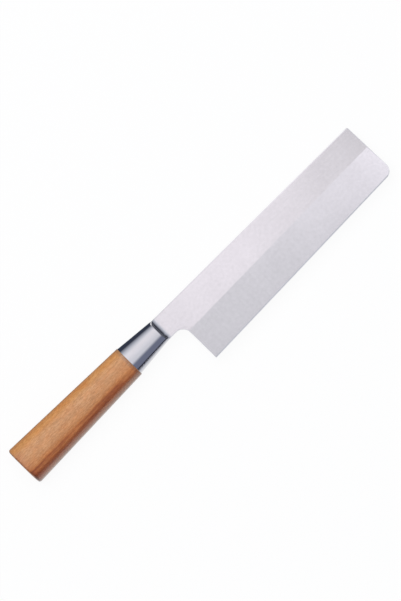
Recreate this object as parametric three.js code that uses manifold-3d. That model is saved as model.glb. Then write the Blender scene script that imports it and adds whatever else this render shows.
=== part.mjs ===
// Usuba knife with a hidden tang: ground blade, coved steel bolster, bamboo handle and the resin in it.
// Millimetres. X runs from butt to tip, Y from cutting edge to spine, Z out of the blade's right face.
// The pieces are drawn with x = 0 at the joint of handle and bolster, and y = z = 0 on the tang's axis.
// The finished knife lies on its left side, with its origin at the bottom centre of its box.

import * as THREE from 'three';
import { mergeVertices } from 'three/addons/utils/BufferGeometryUtils.js';
import Module from 'manifold-3d';

// Lengths along the knife
const HANDLE_LENGTH = 96.5;
const BOLSTER_LENGTH = 26.6;
const NECK_LENGTH = 14.5;
const BLADE_LENGTH = 166.0;

// Blade outline, with heights measured from the tang's axis
const SPINE_AT_HEEL = 7.9;
const SPINE_AT_TIP = 7.2;
const BLADE_HEIGHT_AT_HEEL = 45.7;
const BLADE_HEIGHT_AT_TIP = 40.75;
const NECK_HEIGHT = 16.15;
const HEEL_FILLET = 5.3;
const HEEL_LEAN = 0.3;
const TIP_LEAN = 1.3;
const TIP_CORNER_RADIUS = 7.0;

// Blade grind: the flats end at the bevel line, and the edge bevel is the last cut
const FLAT_DEPTH_AT_HEEL = 21.2;
const FLAT_DEPTH_AT_TIP = 17.85;
const NECK_THICKNESS = 2.15;
const HEEL_THICKNESS = 2.0;
const TIP_THICKNESS = 1.7;
const EDGE_BEVEL_HEIGHT = 0.8;
const EDGE_BEVEL_THICKNESS = 0.4;
const EDGE_LAND = 0.05;
const SPINE_CHAMFER = 0.25;

// Hidden tang
const TANG_IN_HANDLE = 64.0;
const TANG_HEIGHT = 10.0;
const TANG_END_THICKNESS = 1.6;
const TANG_END_RADIUS = 2.0;
const TANG_NOTCH_DEPTH = 1.2;
const TANG_NOTCH_WIDTH = 5.0;
const TANG_NOTCH_AT = 44.0;

// Grip section: an upright oval with a soft ridge low on the right side.
// Its right wall swells to a widest place a little above the axis.
const CROWN_FLAT = 0.8;
const WIDEST_ABOVE_AXIS = 0.8;
const WALL_RADIUS = 20.0;
const UPPER_WALL_LEAN_DEG = 3;
const LOWER_WALL_LEAN_DEG = 8;
const UNDERCUT_DEG = 34;

// Handle
const BUTT_HEIGHT = 28.45;
const BUTT_THICKNESS = 20.4;
const BUTT_RIDGE_DROP = 4.0;
const BUTT_RIDGE_RADIUS = 12.0;
const BUTT_KEEL_RADIUS = 14.0;
const BUTT_BELLY_RADIUS = 5.2;
const HANDLE_FRONT_RIDGE_RADIUS = 9.0;
const HANDLE_FRONT_KEEL_RADIUS = 11.0;
const HANDLE_FRONT_BELLY_RADIUS = 4.5;
const BUTT_ROUND = 1.6;
const HANDLE_FRONT_ROUND = 0.4;
const WOOD_PROUD = 0.35;

// Bolster
const BOLSTER_REAR_HEIGHT = 21.9;
const BOLSTER_REAR_THICKNESS = 16.4;
const BOLSTER_REAR_RIDGE_DROP = 3.1;
const BOLSTER_FRONT_HEIGHT = 16.9;
const BOLSTER_FRONT_THICKNESS = 12.4;
const BOLSTER_FRONT_RIDGE_DROP = 2.6;
const BOLSTER_RIDGE_RADIUS = 4.5;
const BOLSTER_REAR_KEEL_RADIUS = 9.2;
const BOLSTER_REAR_BELLY_RADIUS = 5.0;
const BOLSTER_FRONT_KEEL_RADIUS = 5.8;
const BOLSTER_FRONT_BELLY_RADIUS = 4.6;
const COVE_RADIUS = 4.35;
const COVE_LIP = 0.15;

// Fits
const FIT = 0.1;
const RESIN_WALL = 1.3;
const MORTISE_CORNER_RADIUS = 1.0;

// Fineness of the faceted curves
const ARC_STEPS = 8;
const ROUND_STEPS = 5;

// Shortest straight between two roundings, so that outlines of as many corners have as many points
const STRAIGHT_LEFT = 0.05;

// Places that follow from the sizes above
const BUTT_X = -HANDLE_LENGTH;
const SHOULDER_X = BOLSTER_LENGTH;
const COVE_END_X = BOLSTER_LENGTH + COVE_RADIUS;
const HEEL_X = BOLSTER_LENGTH + NECK_LENGTH;
const TIP_X = HEEL_X + BLADE_LENGTH;
const TANG_END_X = -TANG_IN_HANDLE;

const spineY = (x) => alongBlade(x, SPINE_AT_HEEL, SPINE_AT_TIP);
const edgeY = (x) => spineY(x) - alongBlade(x, BLADE_HEIGHT_AT_HEEL, BLADE_HEIGHT_AT_TIP);
const bevelLineY = (x) => spineY(x) - alongBlade(x, FLAT_DEPTH_AT_HEEL, FLAT_DEPTH_AT_TIP);
const NECK_TOP_Y = spineY(SHOULDER_X);
const NECK_BOTTOM_Y = NECK_TOP_Y - NECK_HEIGHT;

// Room for a cutter to pass clear through what it cuts
const CLEAR = 5;

const wasm = await Module();
wasm.setup();

function alongBlade(x, atHeel, atTip) {
  return THREE.MathUtils.mapLinear(x, HEEL_X, TIP_X, atHeel, atTip);
}

// Closed outline through the corners {x, y, r}. Each corner is rounded to its radius r,
// or to less where the straights beside it are too short for two roundings.
function roundedOutline(corners) {
  const count = corners.length;
  const at = corners.map((corner) => new THREE.Vector2(corner.x, corner.y));
  const sides = at.map((point, i) => at[(i + 1) % count].clone().sub(point));
  const turns = sides.map((side, i) => {
    const before = sides[(i + count - 1) % count];
    return Math.atan2(before.cross(side), before.dot(side));
  });
  const wanted = corners.map((corner, i) => corner.r * Math.tan(Math.abs(turns[i]) / 2));
  const share = sides.map((side, i) => {
    const taken = wanted[i] + wanted[(i + 1) % count];
    return Math.min(1, (side.length() - STRAIGHT_LEFT) / taken);
  });
  const shape = new THREE.Shape();
  corners.forEach((corner, i) => {
    const previous = (i + count - 1) % count;
    const radius = corner.r * Math.min(share[i], share[previous]);
    if (radius === 0) {
      if (i === 0) shape.moveTo(corner.x, corner.y);
      else shape.lineTo(corner.x, corner.y);
      return;
    }
    const heading = sides[previous].angle();
    const hand = Math.sign(turns[i]);
    const setback = radius * Math.tan(Math.abs(turns[i]) / 2);
    const start = at[i].clone().addScaledVector(sides[previous].clone().normalize(), -setback);
    const centreX = start.x - hand * radius * Math.sin(heading);
    const centreY = start.y + hand * radius * Math.cos(heading);
    const startAngle = heading - hand * Math.PI / 2;
    shape.absarc(centreX, centreY, radius, startAngle, startAngle + turns[i], hand < 0);
  });
  return shape;
}

// Closed skin over rings of equal point count. Each ring is {x, points}, with points in (y, z)
// counter-clockwise as seen from the tip, and x grows from ring to ring.
function loft(rings) {
  const perRing = rings[0].points.length;
  const positions = rings.flatMap(({ x, points }) => points.flatMap((p) => [x, p.x, p.y]));
  const index = [];
  for (let i = 0; i + 1 < rings.length; i += 1) {
    for (let j = 0; j < perRing; j += 1) {
      const near = i * perRing + j;
      const nearNext = i * perRing + (j + 1) % perRing;
      const far = near + perRing;
      const farNext = nearNext + perRing;
      index.push(near, nearNext, far, far, nearNext, farNext);
    }
  }
  const lastRing = (rings.length - 1) * perRing;
  THREE.ShapeUtils.triangulateShape(rings[0].points, []).forEach(([a, b, c]) => index.push(c, b, a));
  THREE.ShapeUtils.triangulateShape(rings.at(-1).points, [])
    .forEach(([a, b, c]) => index.push(lastRing + a, lastRing + b, lastRing + c));
  const geometry = new THREE.BufferGeometry();
  geometry.setAttribute('position', new THREE.Float32BufferAttribute(positions, 3));
  geometry.setIndex(index);
  return geometry;
}

function toSolid(geometry) {
  const bare = geometry.clone();
  bare.deleteAttribute('normal');
  bare.deleteAttribute('uv');
  const merged = mergeVertices(bare);
  return new wasm.Manifold(new wasm.Mesh({
    numProp: 3,
    vertProperties: merged.attributes.position.array,
    triVerts: Uint32Array.from(merged.index.array),
  }));
}

function toGeometry(solid) {
  const mesh = solid.getMesh();
  const geometry = new THREE.BufferGeometry();
  geometry.setAttribute('position', new THREE.BufferAttribute(mesh.vertProperties, 3));
  geometry.setIndex(new THREE.BufferAttribute(mesh.triVerts, 1));
  return geometry;
}

// Block between two corners, as a cutter
function block(low, high) {
  const size = low.map((from, axis) => high[axis] - from);
  const middle = low.map((from, axis) => (from + high[axis]) / 2);
  return toSolid(new THREE.BoxGeometry(...size).translate(...middle));
}

// Sizes of a grip section part of the way from one end to the other
function between(from, to, part) {
  const mixed = {};
  for (const key of Object.keys(from)) mixed[key] = THREE.MathUtils.lerp(from[key], to[key], part);
  return mixed;
}

// Grip section as six flats, each facing a direction and passing through a point, with round corners.
// Directions are turned from the spine towards the right side; the flats lie in from the size by inset.
function gripSection({ height, thickness, ridgeDrop, ridgeRadius, keelRadius, bellyRadius }, inset = 0) {
  const half = thickness / 2;
  const ovalRadius = half - CROWN_FLAT / 2;
  const right = Math.PI / 2;
  const upperLean = THREE.MathUtils.degToRad(UPPER_WALL_LEAN_DEG);
  const lowerLean = THREE.MathUtils.degToRad(LOWER_WALL_LEAN_DEG);
  const undercut = THREE.MathUtils.degToRad(UNDERCUT_DEG);
  const belowWidest = WIDEST_ABOVE_AXIS + ridgeDrop;
  const crown = new THREE.Vector2(height / 2, 0);
  const widest = new THREE.Vector2(WIDEST_ABOVE_AXIS, half);
  const ridge = new THREE.Vector2(-ridgeDrop, half - belowWidest * Math.tan(lowerLean));
  const keel = new THREE.Vector2(-height / 2, 0);
  const leftWall = new THREE.Vector2(0, -half);
  const flats = [
    { facing: 0, through: crown, roundTo: ovalRadius },
    { facing: right - upperLean, through: widest, roundTo: WALL_RADIUS },
    { facing: right + lowerLean, through: widest, roundTo: ridgeRadius },
    { facing: right + undercut, through: ridge, roundTo: keelRadius },
    { facing: 2 * right, through: keel, roundTo: bellyRadius },
    { facing: 3 * right, through: leftWall, roundTo: ovalRadius },
  ];
  const distances = flats.map(({ facing, through }) => (
    through.x * Math.cos(facing) + through.y * Math.sin(facing) - inset
  ));
  const corners = flats.map((flat, i) => {
    const next = flats[(i + 1) % flats.length];
    const spread = Math.sin(next.facing - flat.facing);
    const reach = distances[i];
    const nextReach = distances[(i + 1) % flats.length];
    return {
      x: (reach * Math.sin(next.facing) - nextReach * Math.sin(flat.facing)) / spread,
      y: (nextReach * Math.cos(flat.facing) - reach * Math.cos(next.facing)) / spread,
      r: flat.roundTo - inset,
    };
  });
  return roundedOutline(corners).getPoints(ARC_STEPS);
}

// Quarter round at an end, from its flat face to its full section: how far each step lies
// back from the face and in from the section
function endRounding(radius) {
  return Array.from({ length: ROUND_STEPS + 1 }, (_, i) => {
    const turn = (i / ROUND_STEPS) * Math.PI / 2;
    return { setback: radius * (1 - Math.cos(turn)), inset: radius * (1 - Math.sin(turn)) };
  });
}

const bolsterRear = {
  height: BOLSTER_REAR_HEIGHT,
  thickness: BOLSTER_REAR_THICKNESS,
  ridgeDrop: BOLSTER_REAR_RIDGE_DROP,
  ridgeRadius: BOLSTER_RIDGE_RADIUS,
  keelRadius: BOLSTER_REAR_KEEL_RADIUS,
  bellyRadius: BOLSTER_REAR_BELLY_RADIUS,
};

const bolsterFront = {
  height: BOLSTER_FRONT_HEIGHT,
  thickness: BOLSTER_FRONT_THICKNESS,
  ridgeDrop: BOLSTER_FRONT_RIDGE_DROP,
  ridgeRadius: BOLSTER_RIDGE_RADIUS,
  keelRadius: BOLSTER_FRONT_KEEL_RADIUS,
  bellyRadius: BOLSTER_FRONT_BELLY_RADIUS,
};

// The wood stands a little proud of the bolster all round, and its ridge carries on the steel's
const handleFront = {
  height: BOLSTER_REAR_HEIGHT + 2 * WOOD_PROUD,
  thickness: BOLSTER_REAR_THICKNESS + 2 * WOOD_PROUD,
  ridgeDrop: BOLSTER_REAR_RIDGE_DROP,
  ridgeRadius: HANDLE_FRONT_RIDGE_RADIUS,
  keelRadius: HANDLE_FRONT_KEEL_RADIUS,
  bellyRadius: HANDLE_FRONT_BELLY_RADIUS,
};

const handleButt = {
  height: BUTT_HEIGHT,
  thickness: BUTT_THICKNESS,
  ridgeDrop: BUTT_RIDGE_DROP,
  ridgeRadius: BUTT_RIDGE_RADIUS,
  keelRadius: BUTT_KEEL_RADIUS,
  bellyRadius: BUTT_BELLY_RADIUS,
};

// Tang outline in (x, y), grown by the given amount, with a keying notch in its top and bottom
function tangCorners(grow) {
  const half = TANG_HEIGHT / 2 + grow;
  const end = TANG_END_X - grow;
  const notchBack = -TANG_NOTCH_AT - TANG_NOTCH_WIDTH / 2 + grow;
  const notchFront = -TANG_NOTCH_AT + TANG_NOTCH_WIDTH / 2 - grow;
  const notchRadius = TANG_NOTCH_DEPTH / 2;
  const bottom = [
    { x: end, y: -half, r: TANG_END_RADIUS },
    { x: notchBack, y: -half, r: 0 },
    { x: notchBack, y: -half + TANG_NOTCH_DEPTH, r: notchRadius },
    { x: notchFront, y: -half + TANG_NOTCH_DEPTH, r: notchRadius },
    { x: notchFront, y: -half, r: 0 },
    { x: SHOULDER_X, y: -half, r: 0 },
  ];
  const top = bottom.map(({ x, y, r }) => ({ x, y: -y, r })).reverse();
  return { bottom, top };
}

// Ground bar from which every flat steel outline is cut: spine, flats, wide bevels and edge bevels.
// Below the edge it runs on as a thin web, which the outline cuts off.
function groundBar(grow) {
  const stations = [
    [TANG_END_X - CLEAR, TANG_END_THICKNESS],
    [TANG_END_X, TANG_END_THICKNESS],
    [0, NECK_THICKNESS],
    [COVE_END_X, NECK_THICKNESS],
    [HEEL_X, HEEL_THICKNESS],
    [TIP_X, TIP_THICKNESS],
    [TIP_X + CLEAR, TIP_THICKNESS],
  ];
  return toSolid(loft(stations.map(([x, thickness]) => {
    const half = thickness / 2 + grow;
    const rightSide = [
      new THREE.Vector2(spineY(x), half - SPINE_CHAMFER),
      new THREE.Vector2(spineY(x) - SPINE_CHAMFER, half),
      new THREE.Vector2(bevelLineY(x), half),
      new THREE.Vector2(edgeY(x) + EDGE_BEVEL_HEIGHT, EDGE_BEVEL_THICKNESS / 2 + grow),
      new THREE.Vector2(edgeY(x), EDGE_LAND / 2 + grow),
      new THREE.Vector2(edgeY(x) - CLEAR, EDGE_LAND / 2 + grow),
    ];
    const leftSide = rightSide.map((p) => new THREE.Vector2(p.x, -p.y)).reverse();
    return { x, points: [...rightSide, ...leftSide] };
  })));
}

// Flat outline made as thick as depth, half of it on each side
function plate(outline, depth) {
  const options = { depth, bevelEnabled: false, curveSegments: ARC_STEPS };
  return new THREE.ExtrudeGeometry(outline, options).translate(0, 0, -depth / 2);
}

// Steel cut from the ground bar by an outline in (x, y)
function cutFromBar(corners, grow = 0) {
  const blank = plate(roundedOutline(corners), NECK_THICKNESS + 2 * CLEAR);
  return toSolid(blank).intersect(groundBar(grow));
}

function makeBlade() {
  const { bottom, top } = tangCorners(0);
  const corners = [
    ...bottom,
    { x: SHOULDER_X, y: NECK_BOTTOM_Y, r: 0 },
    { x: HEEL_X, y: NECK_BOTTOM_Y, r: HEEL_FILLET },
    { x: HEEL_X + HEEL_LEAN, y: edgeY(HEEL_X + HEEL_LEAN), r: 0 },
    { x: TIP_X, y: edgeY(TIP_X), r: TIP_CORNER_RADIUS },
    { x: TIP_X - TIP_LEAN, y: spineY(TIP_X), r: 0 },
    { x: TIP_X - TIP_LEAN, y: spineY(TIP_X) + CLEAR, r: 0 },
    { x: SHOULDER_X, y: NECK_TOP_Y + CLEAR, r: 0 },
    ...top,
  ];
  return cutFromBar(corners);
}

// One side's cove: all that lies in front of the bolster, down to a round fillet that runs out on the blade
function coveCutter(side) {
  const centreZ = NECK_THICKNESS / 2 + FIT + COVE_LIP + COVE_RADIUS;
  const farX = COVE_END_X + CLEAR;
  const farZ = BOLSTER_REAR_THICKNESS;
  const profile = new THREE.Shape();
  profile.moveTo(farX, 0);
  profile.lineTo(farX, farZ);
  profile.lineTo(SHOULDER_X, farZ);
  profile.absarc(COVE_END_X, centreZ, COVE_RADIUS, Math.PI, 3 * Math.PI / 2, false);
  profile.lineTo(COVE_END_X, 0);
  return toSolid(plate(profile, 2 * BOLSTER_REAR_HEIGHT).rotateX(side * Math.PI / 2));
}

function makeBolster() {
  const taper = COVE_END_X / BOLSTER_LENGTH;
  const body = toSolid(loft([
    { x: 0, points: gripSection(bolsterRear) },
    { x: COVE_END_X, points: gripSection(between(bolsterRear, bolsterFront, taper)) },
  ]));
  const wide = BOLSTER_REAR_HEIGHT;
  const slitHalf = NECK_THICKNESS / 2 + FIT;
  const tangHalf = TANG_HEIGHT / 2 + FIT;
  const frontX = COVE_END_X + CLEAR;
  const aboveNeck = block([SHOULDER_X, NECK_TOP_Y, -wide], [frontX, wide, wide]);
  const belowNeck = block([SHOULDER_X, -wide, -wide], [frontX, NECK_BOTTOM_Y, wide]);
  const neckSlit = block([SHOULDER_X - FIT, -wide, -slitHalf], [frontX, wide, slitHalf]);
  const tangSlot = block([-CLEAR, -tangHalf, -slitHalf], [frontX, tangHalf, slitHalf]);
  const cutters = [coveCutter(1), coveCutter(-1), aboveNeck, belowNeck, neckSlit, tangSlot];
  return cutters.reduce((solid, cutter) => solid.subtract(cutter), body);
}

// Straight hole down the handle for the tang and its resin, drawn in on every side by inset
function mortise(inset) {
  const halfHeight = TANG_HEIGHT / 2 + FIT + RESIN_WALL - inset;
  const halfWidth = NECK_THICKNESS / 2 + FIT + RESIN_WALL - inset;
  const r = MORTISE_CORNER_RADIUS;
  const points = roundedOutline([
    { x: halfHeight, y: -halfWidth, r },
    { x: halfHeight, y: halfWidth, r },
    { x: -halfHeight, y: halfWidth, r },
    { x: -halfHeight, y: -halfWidth, r },
  ]).getPoints(ARC_STEPS / 2);
  const bottomX = TANG_END_X - FIT - RESIN_WALL + inset;
  return { bottomX, points };
}

function makeHandle() {
  const middle = (x) => between(handleButt, handleFront, (x - BUTT_X) / HANDLE_LENGTH);
  const ring = (x, inset) => ({ x, points: gripSection(middle(x), inset) });
  const butt = endRounding(BUTT_ROUND);
  const front = endRounding(HANDLE_FRONT_ROUND).reverse();
  const body = loft([
    ...butt.map(({ setback, inset }) => ring(BUTT_X + setback, inset)),
    ...front.map(({ setback, inset }) => ring(-setback, inset)),
  ]);
  const { bottomX, points } = mortise(0);
  return toSolid(body).subtract(toSolid(loft([{ x: bottomX, points }, { x: CLEAR, points }])));
}

function makeResin() {
  const { bottomX, points } = mortise(FIT);
  const plug = toSolid(loft([{ x: bottomX, points }, { x: -FIT, points }]));
  const { bottom, top } = tangCorners(FIT);
  return plug.subtract(cutFromBar([...bottom, ...top], FIT));
}

const pieces = [
  { name: 'blade', solid: makeBlade(), finish: { color: 0xd9d7dc, roughness: 0.35, metalness: 1 } },
  { name: 'bolster', solid: makeBolster(), finish: { color: 0xc9cad2, roughness: 0.08, metalness: 1 } },
  { name: 'handle', solid: makeHandle(), finish: { color: 0xc89468, roughness: 0.5, metalness: 0 } },
  { name: 'tang_resin_fill', solid: makeResin(), finish: { color: 0xb9a06a, roughness: 0.6, metalness: 0 } },
];

const knife = new THREE.Group();
for (const { name, solid, finish } of pieces) {
  const mesh = new THREE.Mesh(toGeometry(solid), new THREE.MeshStandardMaterial(finish));
  mesh.name = name;
  knife.add(mesh);
}

const box = new THREE.Box3().setFromObject(knife);
const centre = box.getCenter(new THREE.Vector3());
knife.position.set(-centre.x, -centre.y, -box.min.z);

export default knife;
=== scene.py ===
"""Usuba knife: ground blade, polished bolster and bamboo handle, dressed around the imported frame.

Sizes are in millimetres, drawn with x = 0 at the joint of handle and bolster, y = z = 0 on the tang's
axis, X towards the tip, Y towards the spine and Z out of the blade's right face. place() takes them to
the frame, in metres.
"""

import math
from collections import namedtuple

import bmesh
import bpy
from mathutils import Matrix, Vector


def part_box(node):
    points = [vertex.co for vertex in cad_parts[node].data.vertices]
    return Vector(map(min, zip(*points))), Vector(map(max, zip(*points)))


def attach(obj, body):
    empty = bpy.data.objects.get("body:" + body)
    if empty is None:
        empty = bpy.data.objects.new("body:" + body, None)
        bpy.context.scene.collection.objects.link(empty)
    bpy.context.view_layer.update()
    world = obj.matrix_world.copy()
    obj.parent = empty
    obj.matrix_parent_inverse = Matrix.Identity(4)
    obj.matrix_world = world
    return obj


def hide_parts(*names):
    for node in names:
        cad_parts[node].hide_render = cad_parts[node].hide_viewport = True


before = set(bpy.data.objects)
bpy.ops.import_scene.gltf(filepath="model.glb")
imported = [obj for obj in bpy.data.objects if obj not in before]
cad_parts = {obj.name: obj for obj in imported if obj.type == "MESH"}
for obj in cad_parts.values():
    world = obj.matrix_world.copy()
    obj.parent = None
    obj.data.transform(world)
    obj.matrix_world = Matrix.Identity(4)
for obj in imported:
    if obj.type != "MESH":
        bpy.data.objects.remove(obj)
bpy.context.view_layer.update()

MM = 0.001

# Lengths along the knife
HANDLE_LENGTH = 96.5
BOLSTER_LENGTH = 26.6
NECK_LENGTH = 14.35
BLADE_LENGTH = 166.4
HEEL_X = BOLSTER_LENGTH + NECK_LENGTH
TIP_X = HEEL_X + BLADE_LENGTH

# Blade outline
SPINE_AT_HEEL = 8.15
SPINE_AT_TIP = 7.43
BLADE_HEIGHT_AT_HEEL = 46.2
BLADE_HEIGHT_AT_TIP = 41.0
NECK_HEIGHT = 16.4
HEEL_FILLET = 6.4
HEEL_LEAN = 0.3
TIP_LEAN = 1.3
TIP_CORNER_RADIUS = 6.0
SPINE_CORNER_RADIUS = 0.8

# Blade grind
FLAT_DEPTH_AT_HEEL = 21.45
FLAT_DEPTH_AT_TIP = 18.08
NECK_THICKNESS = 2.15
HEEL_THICKNESS = 2.0
TIP_THICKNESS = 1.7
EDGE_BEVEL_HEIGHT = 0.8
EDGE_BEVEL_THICKNESS = 0.4
EDGE_LAND = 0.05
TANG_LENGTH = 64.0
TANG_HEIGHT = 10.0
TANG_END_THICKNESS = 1.6

# Radius that the blade's rim is eased to, and the most of the half thickness that it takes up
RIM_BREAK = 0.3
RIM_BREAK_SHARE = 0.45

# Grip sections: an oval with a soft ridge low on its right side. The right wall swells to its widest a
# little above the axis, the keel is rounder than the belly on the left, and the bottom sags a little
Section = namedtuple("Section", "height sag thickness ridge_drop ridge_radius keel_radius belly_radius")
CROWN_FLAT = 0.8
WIDEST_ABOVE_AXIS = 0.8
WALL_RADIUS = 20.0
UPPER_WALL_LEAN = math.radians(3)
LOWER_WALL_LEAN = math.radians(8)
UNDERCUT = math.radians(34)
BUTT_SECTION = Section(28.45, 0.42, 20.4, 4.0, 12.0, 15.0, 5.2)
HANDLE_FRONT_SECTION = Section(22.6, 0.25, 17.1, 3.1, 9.0, 11.5, 4.5)
BOLSTER_REAR_SECTION = Section(21.9, 0.0, 16.4, 3.1, 4.5, 9.2, 5.0)
BOLSTER_FRONT_SECTION = Section(16.9, 0.0, 12.4, 2.6, 4.5, 5.3, 4.6)
BUTT_ROUND = 1.6
HANDLE_FRONT_ROUND = 0.4

# Bolster front
COVE_RADIUS = 4.35
COVE_SINK = 0.02
COVE_END_X = BOLSTER_LENGTH + COVE_RADIUS
SHOULDER_BREAK = 0.25
CROWN_BREAK = 1.1

# Distances below which points are one point, or touch
SAME_POINT = 1e-5
SAME_GRIP_POINT = 1e-3
TOUCHING = 1e-6

# Where the drawing's origin lies in the frame, in metres
joint_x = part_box("handle")[1].x
axis_y = sum(corner.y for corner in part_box("bolster")) / 2
middle_z = sum(corner.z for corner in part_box("blade")) / 2


def place(x, y, z):
    """A drawn point, in millimetres, as a point of the frame, in metres."""
    return Vector((joint_x + x * MM, axis_y + y * MM, middle_z + z * MM))


def mix(a, b, part):
    return a + (b - a) * part


# Node helpers

def add(tree, kind, inputs=None, **settings):
    """A new node with its settings. Each input is a constant or the socket that feeds it."""
    node = tree.nodes.new(kind)
    for key, value in settings.items():
        setattr(node, key, value)
    for socket, value in (inputs or {}).items():
        if isinstance(value, bpy.types.NodeSocket):
            tree.links.new(value, node.inputs[socket])
        else:
            node.inputs[socket].default_value = value
    return node


def calc(tree, operation, *terms):
    """The result of a Math node."""
    return add(tree, "ShaderNodeMath", dict(enumerate(terms)), operation=operation).outputs[0]


def vector_calc(tree, operation, *terms):
    """The vector result of a Vector Math node."""
    node = add(tree, "ShaderNodeVectorMath", dict(enumerate(terms)), operation=operation)
    return node.outputs["Vector"]


def dot(tree, a, b):
    node = add(tree, "ShaderNodeVectorMath", {0: a, 1: b}, operation="DOT_PRODUCT")
    return node.outputs["Value"]


def scaled(tree, vector, factor):
    node = add(tree, "ShaderNodeVectorMath", {0: vector, "Scale": factor}, operation="SCALE")
    return node.outputs["Vector"]


def parts_of(tree, vector):
    """A vector's X, Y and Z."""
    return add(tree, "ShaderNodeSeparateXYZ", {0: vector}).outputs


def weighted(tree, *parts):
    """The sum of values, each by its weight."""
    total = 0.0
    for value, weight in parts:
        total = calc(tree, "MULTIPLY_ADD", value, weight, total)
    return total


def map_range(tree, value, start, end, low=0.0, high=1.0):
    """Takes a value's way from start to end to low and high, and holds it there beyond them."""
    settings = {"Value": value, "From Min": start, "From Max": end, "To Min": low, "To Max": high}
    return add(tree, "ShaderNodeMapRange", settings).outputs["Result"]


def ramp(tree, source, stops):
    """Colour ramp through stops of (position, colour)."""
    node = add(tree, "ShaderNodeValToRGB", {"Fac": source})
    elements = node.color_ramp.elements
    while len(elements) < len(stops):
        elements.new(1.0)
    for element, (position, colour) in zip(elements, stops):
        element.position = position
        element.color = (*colour, 1.0)
    return node.outputs["Color"]


def blend(tree, part, under, over, mode="MIX"):
    """One colour over another, by a factor that is a socket or a constant."""
    node = add(tree, "ShaderNodeMix", {"Factor": part}, data_type="RGBA", blend_type=mode)
    for name, colour in (("A", under), ("B", over)):
        socket = next(s for s in node.inputs if s.name == name and s.type == "RGBA")
        tree.links.new(colour, socket)
    return next(s for s in node.outputs if s.type == "RGBA")


def tinted(tree, colour, source, stops, part=None):
    """A colour multiplied by a ramp of the source: in full, or by a factor."""
    product = blend(tree, 1.0, colour, ramp(tree, source, stops), "MULTIPLY")
    return product if part is None else blend(tree, part, colour, product)


def object_place(tree):
    return add(tree, "ShaderNodeTexCoord").outputs["Object"]


def stretched_noise(tree, per_metre, detail=3.0, roughness=0.5):
    """Noise on Object coordinates with its own number of grains per metre along X, Y and Z."""
    mapped = {"Vector": object_place(tree), "Scale": per_metre}
    mapped = add(tree, "ShaderNodeMapping", mapped).outputs["Vector"]
    settings = {"Vector": mapped, "Scale": 1.0, "Detail": detail, "Roughness": roughness}
    return add(tree, "ShaderNodeTexNoise", settings).outputs["Fac"]


def grey(level):
    return (level, level, level)


# Materials. A relief is (strength, depth in metres)

SATIN_TONES = (0.91, 1.08)
SATIN_LINES = 0.25
SATIN_MOTTLE = 0.45
SATIN_CLOUD = 0.3
SATIN_RELIEF = (0.1, 0.00002)
TIP_FADE = 20.0
POLISH_TONES = (0.97, 1.02)
POLISH_RELIEF = (0.05, 0.00001)
BAMBOO_RELIEF = (0.12, 0.00008)
RESIN_RELIEF = (0.2, 0.0001)

# Satin finishes of the blade. The tip's painted light is by how much the tone rises over the last stretch to
# the tip: a painted highlight on the bevel, and painted shade on the flats where it is negative
Satin = namedtuple("Satin", "name colour per_metre roughness tip_gain")
BLADE_SATINS = {
    "flat": Satin("satin flats", (0.59, 0.582, 0.596), (50, 1500, 1500), (0.14, 0.18), -0.05),
    "bevel": Satin("ground bevel", (0.597, 0.594, 0.61), (1500, 50, 50), (0.14, 0.18), 0.09),
    "edge": Satin("honed edge", (0.67, 0.67, 0.69), (3600, 90, 90), (0.25, 0.32), 0.0),
    # The eased rim's steel is painted lighter than the rest of the blade's: painted light on the rounded rim
    "rim": Satin("eased rim with painted light", (0.8, 0.79, 0.82), (900, 900, 900), (0.34, 0.42), 0.0),
}
POLISH_COLOUR = (0.7, 0.694, 0.72)

# Bamboo: tones of its grain, and the tints that multiply them
GRAIN_TONES = [
    (0.39, (0.46, 0.194, 0.061)), (0.5, (0.565, 0.258, 0.09)), (0.61, (0.645, 0.319, 0.128)),
]
BLOTCH_TINTS = [(0.36, (1.03, 0.97, 0.9)), (0.5, grey(1.0)), (0.64, (0.985, 1.015, 1.07))]
SPECK_TINTS = [
    (0.34, (0.9, 0.83, 0.76)), (0.45, grey(1.0)), (0.58, grey(1.0)), (0.68, (1.06, 1.0, 0.86)),
]
# Painted light and shade by how far a face is turned up: lighter and golden towards the crown, darker below
# the ridge
FACING_LIGHT_AND_SHADE_TINTS = [
    (0.1, (0.59, 0.32, 0.2)), (0.165, (0.67, 0.37, 0.225)), (0.19, (0.74, 0.44, 0.29)),
    (0.22, (1.05, 0.78, 0.58)), (0.27, (1.13, 0.97, 0.82)), (0.35, (1.07, 1.0, 0.96)),
    (0.5, grey(1.0)), (0.71, (1.0, 1.0, 0.93)), (0.8, (1.1, 1.09, 0.94)),
    (0.9, (1.1, 1.04, 0.83)), (1.0, (1.15, 1.14, 1.0)),
]
# Painted shade in streaks below the ridge, on faces turned away from the light
SHADE_STREAK_TINTS = [(0.5, grey(1.0)), (0.62, (0.84, 0.76, 0.68)), (0.72, (0.68, 0.57, 0.47))]
# Painted reflection: the keel, where the lacquer turns away at a grazing angle, is lifted pale and blue-grey
KEEL_REFLECTION_TINTS = [
    (0.0, (1.09, 1.5, 2.0)), (0.05, (1.2, 1.5, 1.9)), (0.075, (1.24, 1.42, 1.66)), (0.105, grey(1.0)),
]
# Painted shade: darker and bluer over the last few millimetres of wood before the bolster
JOINT_SHADE_TINTS = [(0.97, grey(1.0)), (0.983, (0.78, 0.83, 1.05)), (0.994, (0.64, 0.72, 1.0))]
# Painted shade on the butt's rounding, kept off the lit crown
BUTT_END_SHADE_TINTS = [(0.004, (0.62, 0.5, 0.45)), (0.018, (0.9, 0.77, 0.7)), (0.075, grey(1.0))]
# Painted shade on the butt's lower corner, the rounding's side turned from the light
BUTT_CORNER_SHADE_TINTS = [(0.006, (0.36, 0.4, 0.44)), (0.028, grey(1.0))]
CUT_END_TONES = [(0.42, (0.5, 0.24, 0.11)), (0.6, (0.3, 0.12, 0.05))]

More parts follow.
